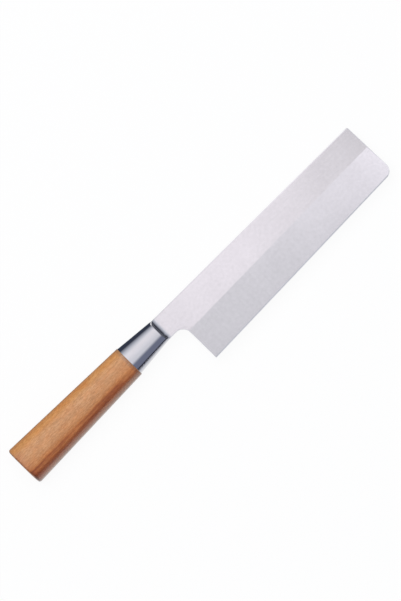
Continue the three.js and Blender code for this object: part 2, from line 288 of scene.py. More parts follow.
# How much of a painted shade tint shows, by how far a face is turned up
LOW_DOWN = [(0.12, grey(0.9)), (0.22, grey(0.7)), (0.34, grey(0.0))]
ABOVE_KEEL = [(0.1, grey(0.25)), (0.2, grey(1.0))]
BELOW_CROWN = [(0.6, grey(1.0)), (0.9, grey(0.0))]

# How far a face is turned up: a half of its normal's Y, and a level that rises from butt to joint.
# The line of painted shade below the ridge wanders about it, and the painted pale reflection on
# the keel climbs towards the joint
FACING_SHARE = 0.5
FACING_LEVEL = 0.49
FACING_RISE = 0.022
WANDER = 0.12
WANDER_SHIFT = -0.076
KEEL_RISE = 0.074
KEEL_SHIFT = 0.01
KEEL_CLIMB = 0.064
KEEL_CLIMB_FROM = 0.55


def new_material(name):
    material = bpy.data.materials.new(name)
    material.use_nodes = True
    tree = material.node_tree
    return material, tree, tree.nodes["Principled BSDF"]


def two_tones(colour, shares):
    return [tuple(channel * share for channel in colour) for share in shares]


def dress(tree, shader, colour, roughness, height, relief):
    """Feeds a shader its colour, its roughness and a relief of the height."""
    strength, depth = relief
    bump = add(tree, "ShaderNodeBump", {"Height": height, "Strength": strength, "Distance": depth})
    fed = {"Base Color": colour, "Roughness": roughness, "Normal": bump.outputs["Normal"]}
    for socket, source in fed.items():
        tree.links.new(source, shader.inputs[socket])


def satin_steel(satin):
    """Ground steel whose fine lines run the way that its noise is stretched, under a faint mottle."""
    material, tree, shader = new_material(satin.name)
    lines = stretched_noise(tree, satin.per_metre, detail=4.0, roughness=0.65)
    mottle = stretched_noise(tree, (450, 450, 450), roughness=0.7)
    cloud = stretched_noise(tree, (35, 35, 35), detail=2.0)
    tone = weighted(tree, (lines, SATIN_LINES), (mottle, SATIN_MOTTLE), (cloud, SATIN_CLOUD))
    low, high = two_tones(satin.colour, SATIN_TONES)
    steel = ramp(tree, tone, [(0.3, low), (0.7, high)])
    # Painted highlight, or painted shade where negative, growing over the last stretch to the tip
    if satin.tip_gain:
        along = parts_of(tree, object_place(tree))["X"]
        start, end = (place(x, 0.0, 0.0).x for x in (TIP_X - TIP_FADE, TIP_X))
        fade = map_range(tree, along, start, end, 1.0, 1.0 + satin.tip_gain)
        steel = blend(tree, 1.0, steel, fade, "MULTIPLY")
    smooth, rough = satin.roughness
    spread = ramp(tree, lines, [(0.3, grey(smooth)), (0.7, grey(rough))])
    dress(tree, shader, steel, spread, lines, SATIN_RELIEF)
    shader.inputs["Metallic"].default_value = 1.0
    return material


def mirror_steel(name, colour):
    """Polished steel with the faint haze and hairlines of hand buffing."""
    material, tree, shader = new_material(name)
    haze = stretched_noise(tree, (120, 400, 400))
    hairs = stretched_noise(tree, (90, 5200, 5200), roughness=0.7)
    low, high = two_tones(colour, POLISH_TONES)
    steel = ramp(tree, haze, [(0.3, low), (0.7, high)])
    spread = ramp(tree, haze, [(0.3, grey(0.09)), (0.75, grey(0.13))])
    dress(tree, shader, steel, spread, hairs, POLISH_RELIEF)
    shader.inputs["Metallic"].default_value = 1.0
    return material


def lacquered_bamboo():
    """Laminated bamboo under lacquer.

    Short fibres and soft blotches along X. Painted light and shade follow the way each face turns: painted
    light towards the crown, painted shade streaks below the ridge, a painted pale reflection along the keel,
    and painted shade on the rounded butt and at the joint. The cut end shows its pores.
    """
    material, tree, shader = new_material("lacquered bamboo")
    fibres = stretched_noise(tree, (420, 1900, 1900), detail=4.0, roughness=0.65)
    strands = stretched_noise(tree, (110, 800, 800))
    blotches = stretched_noise(tree, (110, 240, 240), detail=2.0)
    specks = stretched_noise(tree, (520, 1300, 1300), detail=2.0)
    wander = stretched_noise(tree, (32, 170, 170), detail=2.0)
    streaks = stretched_noise(tree, (26, 420, 420), detail=2.0)
    pores = stretched_noise(tree, (200, 1900, 1900), detail=2.0)

    facing = parts_of(tree, add(tree, "ShaderNodeNewGeometry").outputs["Normal"])
    butt_x = place(-HANDLE_LENGTH, 0.0, 0.0).x
    along = map_range(tree, parts_of(tree, object_place(tree))["X"], butt_x, joint_x)
    level = calc(tree, "MULTIPLY_ADD", along, FACING_RISE, FACING_LEVEL)
    turned_up = calc(tree, "MULTIPLY_ADD", facing["Y"], FACING_SHARE, level)
    stray = calc(tree, "MULTIPLY_ADD", wander, WANDER, WANDER_SHIFT)
    wavering = calc(tree, "ADD", turned_up, stray)
    climb = map_range(tree, along, KEEL_CLIMB_FROM, 1.0, 0.0, KEEL_CLIMB)
    keel_level = calc(tree, "MULTIPLY_ADD", along, KEEL_RISE, climb)
    keel_level = calc(tree, "SUBTRACT", keel_level, KEEL_SHIFT)
    above_keel_level = calc(tree, "SUBTRACT", turned_up, keel_level)
    low_down = ramp(tree, turned_up, LOW_DOWN)

    wood = ramp(tree, weighted(tree, (fibres, 0.65), (strands, 0.35)), GRAIN_TONES)
    wood = tinted(tree, wood, blotches, BLOTCH_TINTS)
    wood = tinted(tree, wood, specks, SPECK_TINTS)
    # Painted light on the crown and painted shade below the ridge, by the way each face turns
    wood = tinted(tree, wood, wavering, FACING_LIGHT_AND_SHADE_TINTS)
    # Painted shade streaks on the faces turned down
    wood = tinted(tree, wood, streaks, SHADE_STREAK_TINTS, low_down)
    # Painted pale reflection along the keel
    wood = tinted(tree, wood, above_keel_level, KEEL_REFLECTION_TINTS)
    # Painted shade on the wood next to the bolster
    wood = tinted(tree, wood, along, JOINT_SHADE_TINTS, ramp(tree, turned_up, ABOVE_KEEL))
    # Painted shade on the rounded butt, except where it faces up
    wood = tinted(tree, wood, along, BUTT_END_SHADE_TINTS, ramp(tree, turned_up, BELOW_CROWN))
    # Painted shade on the butt's lower corner
    wood = tinted(tree, wood, along, BUTT_CORNER_SHADE_TINTS, low_down)
    end_on = ramp(tree, calc(tree, "ABSOLUTE", facing["X"]), [(0.7, grey(0.0)), (0.95, grey(1.0))])
    wood = blend(tree, end_on, wood, ramp(tree, pores, CUT_END_TONES))
    spread = ramp(tree, fibres, [(0.35, grey(0.5)), (0.65, grey(0.4))])
    dress(tree, shader, wood, spread, fibres, BAMBOO_RELIEF)
    shader.inputs["Coat Weight"].default_value = 0.85
    shader.inputs["Coat Roughness"].default_value = 0.18
    return material


def amber_resin():
    """Cured resin with slow clouds and fine bubbles in it."""
    material, tree, shader = new_material("amber resin")
    clouds = stretched_noise(tree, (90, 200, 200))
    bubbles = stretched_noise(tree, (1400, 1400, 1400), detail=1.0)
    tint = ramp(tree, clouds, [(0.3, (0.4, 0.27, 0.1)), (0.7, (0.52, 0.38, 0.17))])
    spread = ramp(tree, bubbles, [(0.4, grey(0.5)), (0.7, grey(0.65))])
    dress(tree, shader, tint, spread, bubbles, RESIN_RELIEF)
    return material


# Shared shapes

def section_corners(section):
    """Grip section as six flats: its corners in (y, z) and their radii, from the crown by the right side.

    A radius is cut down where the straights beside its corner are too short for two roundings.
    """
    half = section.thickness / 2
    oval = half - CROWN_FLAT / 2
    widest = Vector((WIDEST_ABOVE_AXIS, half))
    below_widest = WIDEST_ABOVE_AXIS + section.ridge_drop
    ridge = widest - Vector((below_widest, below_widest * math.tan(LOWER_WALL_LEAN)))
    flats = [
        (0.0, Vector((section.height / 2, 0.0)), oval),
        (math.pi / 2 - UPPER_WALL_LEAN, widest, WALL_RADIUS),
        (math.pi / 2 + LOWER_WALL_LEAN, widest, section.ridge_radius),
        (math.pi / 2 + UNDERCUT, ridge, section.keel_radius),
        (math.pi, Vector((-section.height / 2 - section.sag, 0.0)), section.belly_radius),
        (3 * math.pi / 2, Vector((0.0, -half)), oval),
    ]
    count = len(flats)
    corners = []
    wanted = []
    for i, (facing, through, radius) in enumerate(flats):
        next_facing, next_through, _ = flats[(i + 1) % count]
        reach = through.dot((math.cos(facing), math.sin(facing)))
        next_reach = next_through.dot((math.cos(next_facing), math.sin(next_facing)))
        turn = (next_facing - facing) % (2 * math.pi)
        y = (reach * math.sin(next_facing) - next_reach * math.sin(facing)) / math.sin(turn)
        z = (next_reach * math.cos(facing) - reach * math.cos(next_facing)) / math.sin(turn)
        corners.append(Vector((y, z)))
        wanted.append(radius * math.tan(turn / 2))
    lengths = [(corners[(i + 1) % count] - corners[i]).length for i in range(count)]
    share = [min(1.0, lengths[i] / (wanted[i] + wanted[(i + 1) % count])) for i in range(count)]
    radii = [flats[i][2] * min(share[i], share[i - 1]) for i in range(count)]
    return corners, radii


def rounded_ring(corners, radii, steps):
    """Points of a closed outline whose corners are rounded to their radii, counter-clockwise."""
    points = []
    for i, (corner, radius) in enumerate(zip(corners, radii)):
        before = (corner - corners[i - 1]).normalized()
        after = (corners[(i + 1) % len(corners)] - corner).normalized()
        turn = math.atan2(before.x * after.y - before.y * after.x, before.dot(after))
        start = corner - before * radius * math.tan(turn / 2)
        centre = start + Vector((-before.y, before.x)) * radius
        for step in range(steps + 1):
            points.append(centre + Matrix.Rotation(turn * step / steps, 2) @ (start - centre))
    return points


def new_piece(name, mesh, *materials):
    for material in materials:
        mesh.materials.append(material)
    piece = bpy.data.objects.new(name, mesh)
    bpy.context.scene.collection.objects.link(piece)
    return piece


def settle(piece):
    """Turns the piece's modifiers into its plain mesh."""
    bpy.context.view_layer.update()
    evaluated = piece.evaluated_get(bpy.context.evaluated_depsgraph_get())
    mesh = bpy.data.meshes.new_from_object(evaluated)
    piece.modifiers.clear()
    piece.data = mesh
    return piece


def even_shading(piece):
    """Smooth shading in which the large faces keep their own direction."""
    modifier = piece.modifiers.new("large faces lead", "WEIGHTED_NORMAL")
    modifier.mode = "FACE_AREA"
    modifier.weight = 50
    modifier.keep_sharp = True
    return settle(piece)


# Blade

def along_blade(x, at_heel, at_tip):
    return mix(at_heel, at_tip, (x - HEEL_X) / BLADE_LENGTH)


def spine_y(x):
    return along_blade(x, SPINE_AT_HEEL, SPINE_AT_TIP)


def edge_y(x):
    return spine_y(x) - along_blade(x, BLADE_HEIGHT_AT_HEEL, BLADE_HEIGHT_AT_TIP)


def bevel_line_y(x):
    return spine_y(x) - along_blade(x, FLAT_DEPTH_AT_HEEL, FLAT_DEPTH_AT_TIP)


NECK_BOTTOM_Y = spine_y(BOLSTER_LENGTH) - NECK_HEIGHT
FILLET_X = HEEL_X - HEEL_FILLET
THICKNESS_STATIONS = [
    (-TANG_LENGTH, TANG_END_THICKNESS),
    (0.0, NECK_THICKNESS),
    (COVE_END_X, NECK_THICKNESS),
    (HEEL_X, HEEL_THICKNESS),
    (TIP_X, TIP_THICKNESS),
]

# The face's mesh: its columns as shares of the way from heel to tip, its rows on the bevel by their
# height above the edge at the tip, and the rows that run on into the neck and the tang
COLUMNS = [0.0, 0.031, 0.08, *(0.16 + 0.08 * i for i in range(10)), 0.94, 0.98]
BEVEL_ROWS = (20.0, 16.0, 12.0)
NECK_ROWS = 6
NECK_COLUMNS = (BOLSTER_LENGTH, COVE_END_X)
TANG_ROWS = slice(2, 5)
TANG_COLUMNS = (-TANG_LENGTH, 0.0, BOLSTER_LENGTH)
FILLET_STEPS = 8
TIP_CORNER_STEPS = 7
EDGE_STEPS = 3
RIM_STEPS = 3


def half_thickness(x, y):
    """How far the blade's right face stands out from its middle plane."""
    for (from_x, from_t), (to_x, to_t) in zip(THICKNESS_STATIONS, THICKNESS_STATIONS[1:]):
        if x <= to_x:
            break
    full = mix(from_t, to_t, (x - from_x) / (to_x - from_x)) / 2
    above_edge = y - edge_y(x)
    bevel_height = bevel_line_y(x) - edge_y(x)
    if above_edge >= bevel_height or x < FILLET_X:
        return full
    if above_edge >= EDGE_BEVEL_HEIGHT:
        part = (above_edge - EDGE_BEVEL_HEIGHT) / (bevel_height - EDGE_BEVEL_HEIGHT)
        return mix(EDGE_BEVEL_THICKNESS / 2, full, part)
    part = max(above_edge, 0.0) / EDGE_BEVEL_HEIGHT
    return mix(EDGE_LAND / 2, EDGE_BEVEL_THICKNESS / 2, part)


def heel_x(y):
    """The blade's rear outline: a fillet under the neck, then the leaning heel."""
    down = NECK_BOTTOM_Y - y
    lean = HEEL_LEAN * down / (NECK_BOTTOM_Y - edge_y(HEEL_X))
    if down <= 0:
        return FILLET_X
    if down >= HEEL_FILLET:
        return HEEL_X + lean
    return FILLET_X + math.sqrt(HEEL_FILLET ** 2 - (HEEL_FILLET - down) ** 2) + lean


def tip_x(above_edge):
    """The blade's front outline: a leaning straight that turns round into the edge."""
    straight = TIP_X - TIP_LEAN * above_edge / BLADE_HEIGHT_AT_TIP
    if above_edge >= TIP_CORNER_RADIUS:
        return straight
    rise = TIP_CORNER_RADIUS - above_edge
    return straight - TIP_CORNER_RADIUS + math.sqrt(TIP_CORNER_RADIUS ** 2 - rise ** 2)


def fall(radius, turn):
    """How far a round of that radius has come away from its start."""
    return radius * (1 - math.cos(turn))


def blade_rows():
    """Rows of the blade's face from spine to edge.

    Each is its height at the rear, its height above the edge at the tip, and the zone below it.
    """
    top = spine_y(FILLET_X)
    line_rear = bevel_line_y(HEEL_X)
    line_tip = BLADE_HEIGHT_AT_TIP - FLAT_DEPTH_AT_TIP
    tang = TANG_HEIGHT / 2
    rear_flats = [top - SPINE_CORNER_RADIUS, tang, 0.0, -tang, NECK_BOTTOM_Y]
    fillet_turn = math.acos(1 - (NECK_BOTTOM_Y - line_rear) / HEEL_FILLET)
    for step in range(1, FILLET_STEPS):
        rear_flats.append(NECK_BOTTOM_Y - fall(HEEL_FILLET, fillet_turn * step / FILLET_STEPS))
    rows = [(top, BLADE_HEIGHT_AT_TIP, "flat")]
    for y in rear_flats:
        part = (rear_flats[0] - y) / (rear_flats[0] - line_rear)
        rows.append((y, mix(BLADE_HEIGHT_AT_TIP - SPINE_CORNER_RADIUS, line_tip, part), "flat"))
    rows.append((line_rear, line_tip, "bevel"))
    edge_turn = math.acos(1 - EDGE_BEVEL_HEIGHT / TIP_CORNER_RADIUS)
    rear_edge = edge_y(HEEL_X + HEEL_LEAN)
    heights = list(BEVEL_ROWS)
    for step in range(TIP_CORNER_STEPS + 1):
        turn = mix(math.pi / 2, edge_turn, step / TIP_CORNER_STEPS)
        heights.append(fall(TIP_CORNER_RADIUS, turn))
    for height in heights:
        part = (height - EDGE_BEVEL_HEIGHT) / (line_tip - EDGE_BEVEL_HEIGHT)
        rows.append((mix(rear_edge + EDGE_BEVEL_HEIGHT, line_rear, part), height, "bevel"))
    rows[-1] = (*rows[-1][:2], "edge")
    for step in reversed(range(EDGE_STEPS)):
        height = fall(TIP_CORNER_RADIUS, edge_turn * step / EDGE_STEPS)
        rows.append((rear_edge + height, height, "edge"))
    return rows


def blade_face():
    """The blade's right face as flat points in (x, y), and its quads with the zone of each."""
    rows = blade_rows()
    points = []
    quads = []

    def lay(grid, zones):
        first = len(points)
        width = len(grid[0])
        for line in grid:
            points.extend(line)
        for r, zone in enumerate(zones):
            for c in range(width - 1):
                corner = first + r * width + c
                quads.append(((corner, corner + width, corner + width + 1, corner + 1), zone))

    main = []
    for y, above_edge, _ in rows:
        rear = Vector((heel_x(y), y))
        front_x = tip_x(above_edge)
        front = Vector((front_x, edge_y(front_x) + above_edge))
        last_column = 1 - SPINE_CORNER_RADIUS / (front.x - rear.x)
        main.append([mix(rear, front, part) for part in (*COLUMNS, last_column, 1.0)])
    cut_corner = SPINE_CORNER_RADIUS * (1 - math.sqrt(0.5))
    main[0][-1] = main[0][-1] - Vector((cut_corner, cut_corner))
    lay(main, [zone for _, _, zone in rows[:-1]])
    neck = [[*(Vector((x, line[0].y)) for x in NECK_COLUMNS), line[0]] for line in main[:NECK_ROWS]]
    neck[0][:-1] = [Vector((x, spine_y(x))) for x in NECK_COLUMNS]
    lay(neck, ["flat"] * (NECK_ROWS - 1))
    tang = [[Vector((x, line[0].y)) for x in TANG_COLUMNS] for line in neck[TANG_ROWS]]
    lay(tang, ["flat"] * (len(tang) - 1))
    return points, quads


def rim_of(flat):
    """The outline's vertices in order."""
    edges = [e for e in flat.edges if e.is_boundary]
    loop = [edges[0].verts[0], edges[0].verts[1]]
    while True:
        here = loop[-1]
        onward = [e.other_vert(here) for e in here.link_edges if e.is_boundary]
        step = next(v for v in onward if v is not loop[-2])
        if step is loop[0]:
            return loop
        loop.append(step)


def rim_inward(loop):
    """For each outline vertex, the direction into the face, square to the outline."""
    area = sum(a.co.x * b.co.y - b.co.x * a.co.y for a, b in zip(loop, loop[1:] + loop[:1]))
    hand = 1 if area > 0 else -1
    inward = {}
    for i, v in enumerate(loop):
        before = (v.co - loop[i - 1].co).normalized()
        after = (loop[(i + 1) % len(loop)].co - v.co).normalized()
        normals = [Vector((-side.y, side.x)) * hand for side in (before, after)]
        middle = (normals[0] + normals[1]).normalized()
        inward[v] = middle / max(0.5, middle.dot(normals[0]))
    return inward


def rim_radius(half):
    return min(RIM_BREAK, RIM_BREAK_SHARE * half)


def make_blade(finishes):
    """Closed blade: the right face, its rounded rim and the mirrored left face."""
    points, quads = blade_face()
    zones = list(finishes)
    flat = bmesh.new()
    zone_of = flat.faces.layers.int.new("zone")
    verts = [flat.verts.new((p.x, p.y, 0.0)) for p in points]
    for corners, zone in quads:
        flat.faces.new([verts[i] for i in corners])[zone_of] = zones.index(zone)
    bmesh.ops.remove_doubles(flat, verts=flat.verts, dist=SAME_POINT)
    rim_loop = rim_of(flat)
    inward = rim_inward(rim_loop)
    solid = bmesh.new()

    def raised(v, side, turn):
        """The vertex on that side, with the rim's round turned so far."""
        half = half_thickness(v.co.x, v.co.y)
        if v not in inward:
            return solid.verts.new(place(v.co.x, v.co.y, side * half))
        radius = rim_radius(half)
        shift = inward[v] * radius * (1 - math.sin(turn))
        z = side * (half - fall(radius, turn))
        return solid.verts.new(place(v.co.x + shift.x, v.co.y + shift.y, z))

    rings = {}
    for side in (1, -1):
        lifted = {v: raised(v, side, 0.0) for v in flat.verts}
        for face in flat.faces:
            corners = [lifted[v] for v in face.verts]
            made = solid.faces.new(corners if side < 0 else corners[::-1])
            made.material_index = face[zone_of]
            made.smooth = True
        rings[side] = [[lifted[v] for v in rim_loop]]
        for step in range(1, RIM_STEPS + 1):
            turn = math.pi / 2 * step / RIM_STEPS
            rings[side].append([raised(v, side, turn) for v in rim_loop])
    around = rings[1] + rings[-1][::-1]
    for ring, next_ring in zip(around, around[1:]):
        for i in range(len(ring)):
            made = solid.faces.new((ring[i - 1], ring[i], next_ring[i], next_ring[i - 1]))
            made.material_index = zones.index("rim")
            made.smooth = True
    flat.free()
    bmesh.ops.recalc_face_normals(solid, faces=solid.faces)
    for edge in solid.edges:
        indices = {face.material_index for face in edge.link_faces}
        if len(indices) > 1 and zones.index("rim") not in indices:
            edge.smooth = False
    mesh = bpy.data.meshes.new("ground_blade")
    solid.to_mesh(mesh)
    solid.free()
    return even_shading(new_piece("ground_blade", mesh, *finishes.values()))


# Bolster

SECTION_STEPS = 20
BODY_STEPS = 8
SHOULDER_STEPS = 4
COVE_STEPS = 14
HALVINGS = 40


def cove_depth(x):
    """How far the cove's round stands off the neck."""
    return COVE_RADIUS - math.sqrt(max(0.0, COVE_RADIUS ** 2 - (COVE_END_X - x) ** 2))


def on_neck(point):
    """The nearest point of the neck's section, a little inside its skin."""
    half = NECK_THICKNESS / 2 - COVE_SINK
    top = spine_y(BOLSTER_LENGTH) - COVE_SINK
    bottom = NECK_BOTTOM_Y + COVE_SINK
    return Vector((min(max(point.x, bottom), top), min(max(point.y, -half), half)))


def bolster_line(rear, front):
    """One line of the bolster's skin, from its rear to the neck: straight, over the shoulder, down the cove.

    The shoulder is crisp on the walls and softer where it runs over the crown.
    """
    def skin(x):
        return mix(rear, front, x / BOLSTER_LENGTH)

    def off_neck(x):
        return skin(x) - on_neck(skin(x))

    shoulder = BOLSTER_LENGTH
    if off_neck(shoulder).length < COVE_RADIUS:
        beyond = COVE_END_X
        for _ in range(HALVINGS):
            middle = (shoulder + beyond) / 2
            if cove_depth(middle) > off_neck(middle).length:
                shoulder = middle
            else:
                beyond = middle
    outward = off_neck(shoulder).normalized()
    cove_turn = math.asin(min(1.0, (COVE_END_X - shoulder) / COVE_RADIUS))

    def cove(part):
        turn = cove_turn * (1 - part)
        x = COVE_END_X - COVE_RADIUS * math.sin(turn)
        away = off_neck(x)
        direction = away.normalized() if away.length > TOUCHING else outward
        return x, on_neck(skin(x)) + direction * fall(COVE_RADIUS, turn)

    rise = max(0.0, front.x / (BOLSTER_FRONT_SECTION.height / 2))
    softness = mix(SHOULDER_BREAK, CROWN_BREAK, rise ** 2)
    start = shoulder - softness
    stations = [start * step / BODY_STEPS for step in range(BODY_STEPS)]
    line = [(x, skin(x)) for x in (*stations, start - softness, start)]
    landing = min(0.5, softness / (COVE_RADIUS * cove_turn))
    bend = [(start, skin(start)), (shoulder, skin(shoulder)), cove(landing)]
    a, b, c = (Vector((x, *across)) for x, across in bend)
    for step in range(1, SHOULDER_STEPS + 1):
        t = step / SHOULDER_STEPS
        p = a * (1 - t) ** 2 + b * 2 * t * (1 - t) + c * t ** 2
        line.append((p.x, Vector((p.y, p.z))))
    for step in range(1, COVE_STEPS + 1):
        line.append(cove(mix(landing, 1.0, step / COVE_STEPS)))
    return line


def make_bolster(finish):
    """Closed bolster: the lines of its skin side by side, and a cap on either end."""
    rear = rounded_ring(*section_corners(BOLSTER_REAR_SECTION), SECTION_STEPS)
    front = rounded_ring(*section_corners(BOLSTER_FRONT_SECTION), SECTION_STEPS)
    lines = [bolster_line(r, f) for r, f in zip(rear, front)]
    shell = bmesh.new()
    grid = [[shell.verts.new(place(x, *p)) for x, p in line] for line in lines]
    for i, line in enumerate(grid):
        before = grid[i - 1]
        for j in range(len(line) - 1):
            shell.faces.new((before[j], line[j], line[j + 1], before[j + 1])).smooth = True
    for end in (0, -1):
        cap = shell.faces.new([line[end] for line in grid])
        for edge in cap.edges:
            edge.smooth = False
    bmesh.ops.remove_doubles(shell, verts=shell.verts, dist=SAME_POINT * MM)
    bmesh.ops.recalc_face_normals(shell, faces=shell.faces)
    mesh = bpy.data.meshes.new("polished_bolster")
    shell.to_mesh(mesh)
    shell.free()
    return even_shading(new_piece("polished_bolster", mesh, finish))


# Handle

GRIP_ARC_STEPS = 18
GRIP_BODY_STEPS = 23
GRIP_SOCKETS = [
    ("Outline", "Geometry"),
    ("Butt Place", "Vector"),
    ("Length", "Float"),
    ("Butt Round", "Float"),
    ("Front Round", "Float"),
    ("Arc Steps", "Int"),
    ("Body Steps", "Int"),
    ("Wood", "Material"),
]


def index_choice(tree, kind, index, choices):
    """The choice whose number is the index."""
    node = add(tree, "GeometryNodeIndexSwitch", {"Index": index}, data_type=kind)
    while len(node.index_switch_items) < len(choices):
        node.index_switch_items.new()
    for number, choice in enumerate(choices):
        socket = node.inputs[number + 1]
        if isinstance(choice, bpy.types.NodeSocket):
            tree.links.new(choice, socket)
        else:
            socket.default_value = choice
    return node.outputs[0]


def picked(tree, geometry, value, index):
    """A vector of the geometry's point with that index."""
    inputs = {"Geometry": geometry, "Index": index, "Value": value}
    return add(tree, "GeometryNodeSampleIndex", inputs, data_type="FLOAT_VECTOR").outputs["Value"]


def point_count(tree, curve):
    node = add(tree, "GeometryNodeAttributeDomainSize", {0: curve}, component="CURVE")
    return node.outputs["Point Count"]


def tapered_grip_tree():
    """A grip that tapers from one rounded section to another, with rounded ends.

    The geometry that comes in is the butt section's outline, whose points carry the matching front
    corner and both radii. It is swept along a profile of (distance from the butt, inset).
    """
    tree = bpy.data.node_groups.new("tapered_grip", "GeometryNodeTree")
    for name, kind in GRIP_SOCKETS:
        tree.interface.new_socket(name, in_out="INPUT", socket_type=f"NodeSocket{kind}")
    tree.interface.new_socket("Grip", in_out="OUTPUT", socket_type="NodeSocketGeometry")
    given = add(tree, "NodeGroupInput").outputs
    position = add(tree, "GeometryNodeInputPosition").outputs[0]
    index = add(tree, "GeometryNodeInputIndex").outputs[0]

    def attribute(name, kind):
        return add(tree, "GeometryNodeInputNamedAttribute", {"Name": name}, data_type=kind).outputs[0]

    def moved(geometry, target):
        inputs = {"Geometry": geometry, "Position": target}
        return add(tree, "GeometryNodeSetPosition", inputs).outputs[0]

    def rounded(curve, radius):
        inputs = {"Curve": curve, "Count": given["Arc Steps"], "Radius": radius, "Limit Radius": True}
        return add(tree, "GeometryNodeFilletCurve", inputs, mode="POLY").outputs[0]

    def closed_curve(mesh):
        return add(tree, "GeometryNodeMeshToCurve", {"Mesh": mesh}).outputs[0]

    # Both sections, rounded
    butt = rounded(closed_curve(given["Outline"]), attribute("butt_radius", "FLOAT"))
    front_outline = moved(given["Outline"], attribute("front_corner", "FLOAT_VECTOR"))
    front = rounded(closed_curve(front_outline), attribute("front_radius", "FLOAT"))

    # Profile: in from the butt's middle, round its rim, along the body, and round the front's rim
    line = add(tree, "GeometryNodeCurvePrimitiveLine").outputs[0]
    four = add(tree, "GeometryNodeResampleCurve", {"Curve": line, "Count": 4}).outputs[0]
    inset = calc(tree, "MAXIMUM", given["Butt Round"], given["Front Round"])
    inset = calc(tree, "MULTIPLY", inset, 2.0)
    ends = [(0.0, inset), (0.0, 0.0), (given["Length"], 0.0), (given["Length"], inset)]
    corners = [add(tree, "ShaderNodeCombineXYZ", {"X": x, "Y": y}).outputs[0] for x, y in ends]
    bent = moved(four, index_choice(tree, "VECTOR", index, corners))
    rounds = index_choice(tree, "FLOAT", index, [0.0, given["Butt Round"], given["Front Round"], 0.0])
    profile = rounded(bent, rounds)
    at = parts_of(tree, position)
    on_body = calc(tree, "LESS_THAN", at["Y"], 1e-7)
    in_rear = calc(tree, "LESS_THAN", at["X"], calc(tree, "MULTIPLY", given["Length"], 0.5))
    cuts = calc(tree, "MULTIPLY", on_body, in_rear)
    cuts = calc(tree, "MULTIPLY", given["Body Steps"], cuts)
    profile = add(tree, "GeometryNodeSubdivideCurve", {"Curve": profile, "Cuts": cuts}).outputs[0]

    # Grid with a row for each point of the profile and a column for each point of the section
    rows = point_count(tree, profile)
    around = point_count(tree, butt)
    columns = calc(tree, "ADD", around, 1.0)
    grid = add(tree, "GeometryNodeMeshGrid", {"Vertices X": rows, "Vertices Y": columns}).outputs[0]
    row = calc(tree, "DIVIDE", calc(tree, "ADD", index, 0.5), columns)
    row = calc(tree, "FLOOR", row)
    column = calc(tree, "SUBTRACT", index, calc(tree, "MULTIPLY", row, columns))
    column = calc(tree, "MODULO", column, around)

    # Skin: between the two sections, drawn in by the profile's inset, and closed to a point at either end
    step = parts_of(tree, picked(tree, profile, position, row))
    taper = calc(tree, "DIVIDE", step["X"], given["Length"])
    between = add(tree, "ShaderNodeMix", {"Factor": taper}, data_type="VECTOR")
    between_ends = [s for s in between.inputs if s.type == "VECTOR" and s.name in ("A", "B")]
    for socket, curve in zip(between_ends, (butt, front)):
        tree.links.new(picked(tree, curve, position, column), socket)
    skin = next(s for s in between.outputs if s.type == "VECTOR")
    tangent = picked(tree, butt, add(tree, "GeometryNodeInputTangent").outputs[0], column)
    inward = vector_calc(tree, "CROSS_PRODUCT", (1.0, 0.0, 0.0), tangent)
    skin = vector_calc(tree, "ADD", skin, scaled(tree, inward, step["Y"]))
    first_row = calc(tree, "LESS_THAN", row, 0.5)
    last_row = calc(tree, "GREATER_THAN", row, calc(tree, "SUBTRACT", rows, 1.5))
    open_part = calc(tree, "SUBTRACT", 1.0, calc(tree, "ADD", first_row, last_row))
    along = add(tree, "ShaderNodeCombineXYZ", {"X": step["X"]}).outputs[0]
    target = vector_calc(tree, "ADD", scaled(tree, skin, open_part), along)
    target = vector_calc(tree, "ADD", target, given["Butt Place"])
    grip = moved(grid, target)
    merging = {"Geometry": grip, "Distance": SAME_GRIP_POINT * MM}
    grip = add(tree, "GeometryNodeMergeByDistance", merging).outputs[0]
    grip = add(tree, "GeometryNodeSetShadeSmooth", {"Geometry": grip}).outputs[0]
    grip = add(tree, "GeometryNodeRealizeInstances", {"Geometry": grip}).outputs[0]
    wooden = {"Geometry": grip, "Material": given["Wood"]}
    grip = add(tree, "GeometryNodeSetMaterial", wooden).outputs[0]
    add(tree, "NodeGroupOutput", {"Grip": grip})
    return tree


def make_handle(finish):
    """Handle swept by the grip's node tree from the butt's outline."""
    butt_corners, butt_radii = section_corners(BUTT_SECTION)
    front_corners, front_radii = section_corners(HANDLE_FRONT_SECTION)
    points = [(0.0, corner.x * MM, corner.y * MM) for corner in butt_corners]
    front_points = [(0.0, corner.x * MM, corner.y * MM) for corner in front_corners]
    sides = [(i, (i + 1) % len(points)) for i in range(len(points))]
    outline = bpy.data.meshes.new("butt_outline")
    outline.from_pydata(points, sides, [])
    for name, radii in (("butt_radius", butt_radii), ("front_radius", front_radii)):
        values = outline.attributes.new(name, "FLOAT", "POINT")
        values.data.foreach_set("value", [radius * MM for radius in radii])
    matching = outline.attributes.new("front_corner", "FLOAT_VECTOR", "POINT")
    matching.data.foreach_set("vector", [part for point in front_points for part in point])
    handle = new_piece("bamboo_handle", outline)
    tree = tapered_grip_tree()
    sizes = {
        "Butt Place": place(-HANDLE_LENGTH, 0.0, 0.0),
        "Length": HANDLE_LENGTH * MM,
        "Butt Round": BUTT_ROUND * MM,
        "Front Round": HANDLE_FRONT_ROUND * MM,
        "Arc Steps": GRIP_ARC_STEPS,
        "Body Steps": GRIP_BODY_STEPS,
        "Wood": finish,
    }
    modifier = handle.modifiers.new("tapered grip", "NODES")
    modifier.node_group = tree
    for socket in tree.interface.items_tree:
        if socket.in_out == "INPUT" and socket.name in sizes:
            modifier[socket.identifier] = sizes[socket.name]
    settle(handle)
    skin = bmesh.new()
    skin.from_mesh(handle.data)
    bmesh.ops.recalc_face_normals(skin, faces=skin.faces)
    skin.to_mesh(handle.data)
    skin.free()
    return even_shading(handle)


# Stage: floor, light and camera

